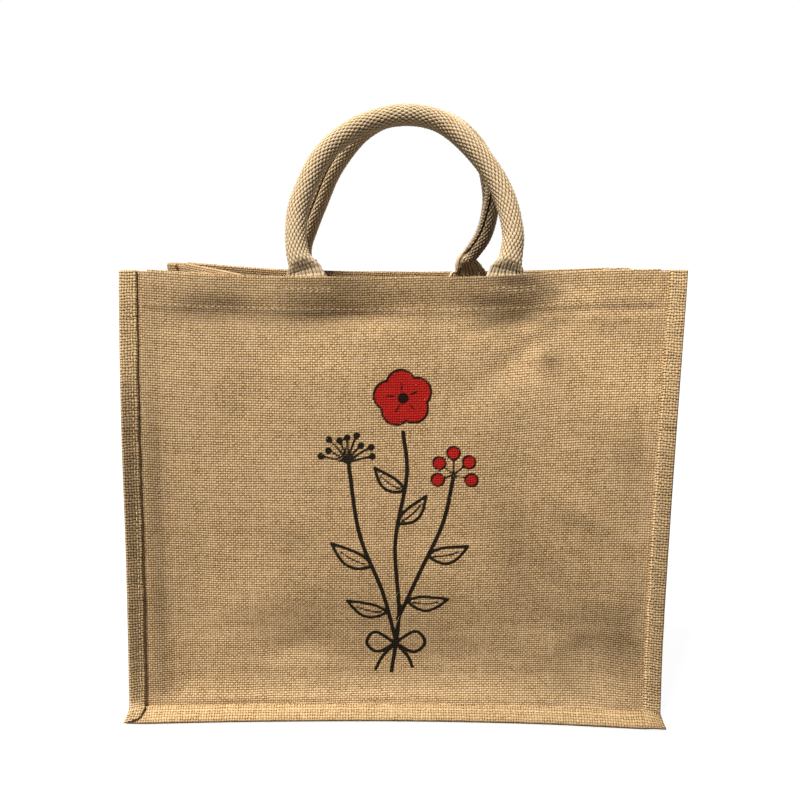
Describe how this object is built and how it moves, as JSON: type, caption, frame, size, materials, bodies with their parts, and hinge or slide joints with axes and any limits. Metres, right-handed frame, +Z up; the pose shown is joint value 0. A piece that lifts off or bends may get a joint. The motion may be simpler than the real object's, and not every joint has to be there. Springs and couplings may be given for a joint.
{
  "type": "burlap shopping bag",
  "caption": "Open-topped jute shopping bag standing on its base, with pinched side gussets, bound outside seams, a folded-in hem and two padded webbing handles.",
  "frame": {"origin": "on the floor under the middle of the whole bag, at the bottom centre of its box", "axes": "+Z up from the base to the handles, +X to the right along the bag's width seen from the front, +Y from the front panel to the back panel"},
  "size_m": [0.4408, 0.2112, 0.4971],
  "materials": {
    "burlap": "natural jute in plain weave, matt and coarse",
    "binding": "the same jute cut as narrow strips, matt and coarse",
    "webbing": "natural jute webbing with a basket weave, stitched into a round padded tube",
    "thread": "matt sewing thread"
  },
  "bodies": {
    "root": {"front_panel": "burlap", "back_panel": "burlap", "gusset": "burlap", "front_binding_left": "binding", "front_binding_foot": "binding", "front_binding_right": "binding", "back_binding_left": "binding", "back_binding_foot": "binding", "back_binding_right": "binding", "front_handle": "webbing", "back_handle": "webbing"}
  },
  "joints": []
}
